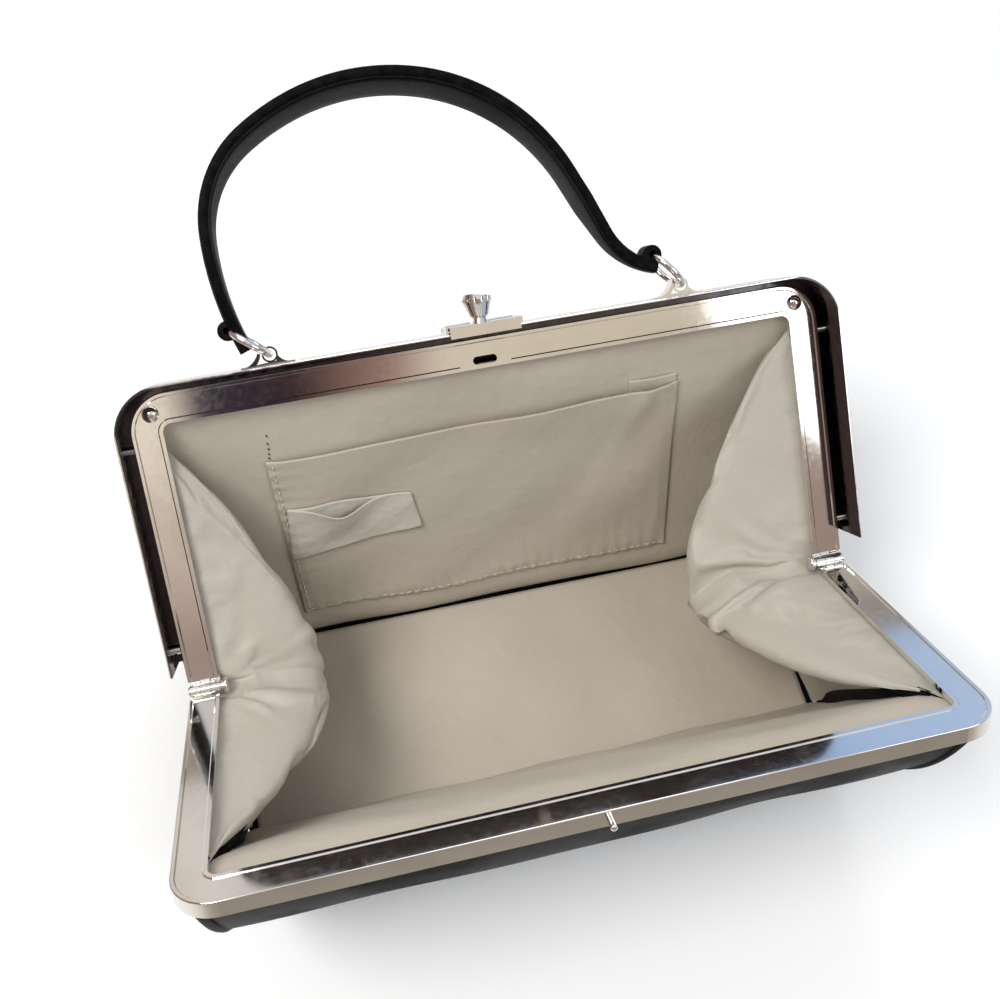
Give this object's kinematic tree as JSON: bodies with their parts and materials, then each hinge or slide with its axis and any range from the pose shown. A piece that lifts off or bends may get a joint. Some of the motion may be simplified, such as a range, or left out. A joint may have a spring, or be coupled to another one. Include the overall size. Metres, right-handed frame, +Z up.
{
  "type": "frame handbag",
  "caption": "Black leather handbag on a hinged polished metal frame with a sprung knob clasp, a ringed arched handle, folded gussets, a beige lining and a patch pocket.",
  "frame": {"origin": "middle of the flat bottom, on the surface that the bag stands on", "axes": "+X along the frame's top bars to the right, +Y to the back jaw that carries the handle, +Z up"},
  "size_m": [0.2576, 0.2495, 0.2033],
  "materials": {
    "black_leather": "smooth black calf, softly glossy",
    "strap_leather": "smooth black leather, stitched edges",
    "beige_lining": "fine smooth lining cloth with a soft sheen",
    "woven_label": "woven, bare",
    "fibre_board": "pressed board",
    "polished_steel": "bright nickel plate",
    "pin_steel": "bright steel, a little worn"
  },
  "bodies": {
    "root": {"bottom_panel": "black_leather", "bottom_board": "fibre_board", "bottom_lining": "beige_lining", "back_panel": "black_leather", "front_panel": "black_leather", "back_lining": "beige_lining", "front_lining": "beige_lining", "left_gusset": "black_leather", "right_gusset": "black_leather", "left_gusset_lining": "beige_lining", "right_gusset_lining": "beige_lining", "inner_pocket": "beige_lining", "pocket_label": "woven_label"},
    "back_jaw": {"back_jaw_frame": "polished_steel", "cover_band": "polished_steel", "band_rivets": "pin_steel", "corner_studs": "polished_steel", "left_hinge_pin": "pin_steel", "right_hinge_pin": "pin_steel", "left_hinge_washer": "pin_steel", "right_hinge_washer": "pin_steel", "left_handle_lug": "polished_steel", "right_handle_lug": "polished_steel", "clasp_bracket": "polished_steel", "clasp_pivot_pin": "polished_steel", "clasp_spring": "pin_steel"},
    "front_jaw": {"front_jaw_frame": "polished_steel", "catch_pin": "polished_steel"},
    "clasp": {"clasp_lever": "polished_steel", "clasp_knob": "polished_steel"},
    "handle": {"handle_strap": "strap_leather", "left_handle_ring": "polished_steel", "right_handle_ring": "polished_steel"}
  },
  "joints": [
    {"name": "back_jaw_hinge", "type": "hinge", "parent": "root", "child": "back_jaw", "pos_m": [0, 0, 0.072], "axis": [1, 0, 0], "range_deg": [0, 51.9]},
    {"name": "front_jaw_hinge", "type": "hinge", "parent": "root", "child": "front_jaw", "pos_m": [0, 0, 0.072], "axis": [-1, 0, 0], "range_deg": [0, 51.9]},
    {"name": "clasp_lift", "type": "hinge", "parent": "back_jaw", "child": "clasp", "pos_m": [0, 0.0887, 0.13901], "axis": [-1, 0, 0], "range_deg": [0, 18], "stiffness_Nm_per_rad": 0.02, "springref_deg": -20.05},
    {"name": "handle_swing", "type": "hinge", "parent": "back_jaw", "child": "handle", "pos_m": [0, 0.08726, 0.14385], "axis": [1, 0, 0], "range_deg": [-35, 35]}
  ],
  "couplings": [
    {"joint": "front_jaw_hinge", "follows": "back_jaw_hinge", "ratio": 1}
  ]
}
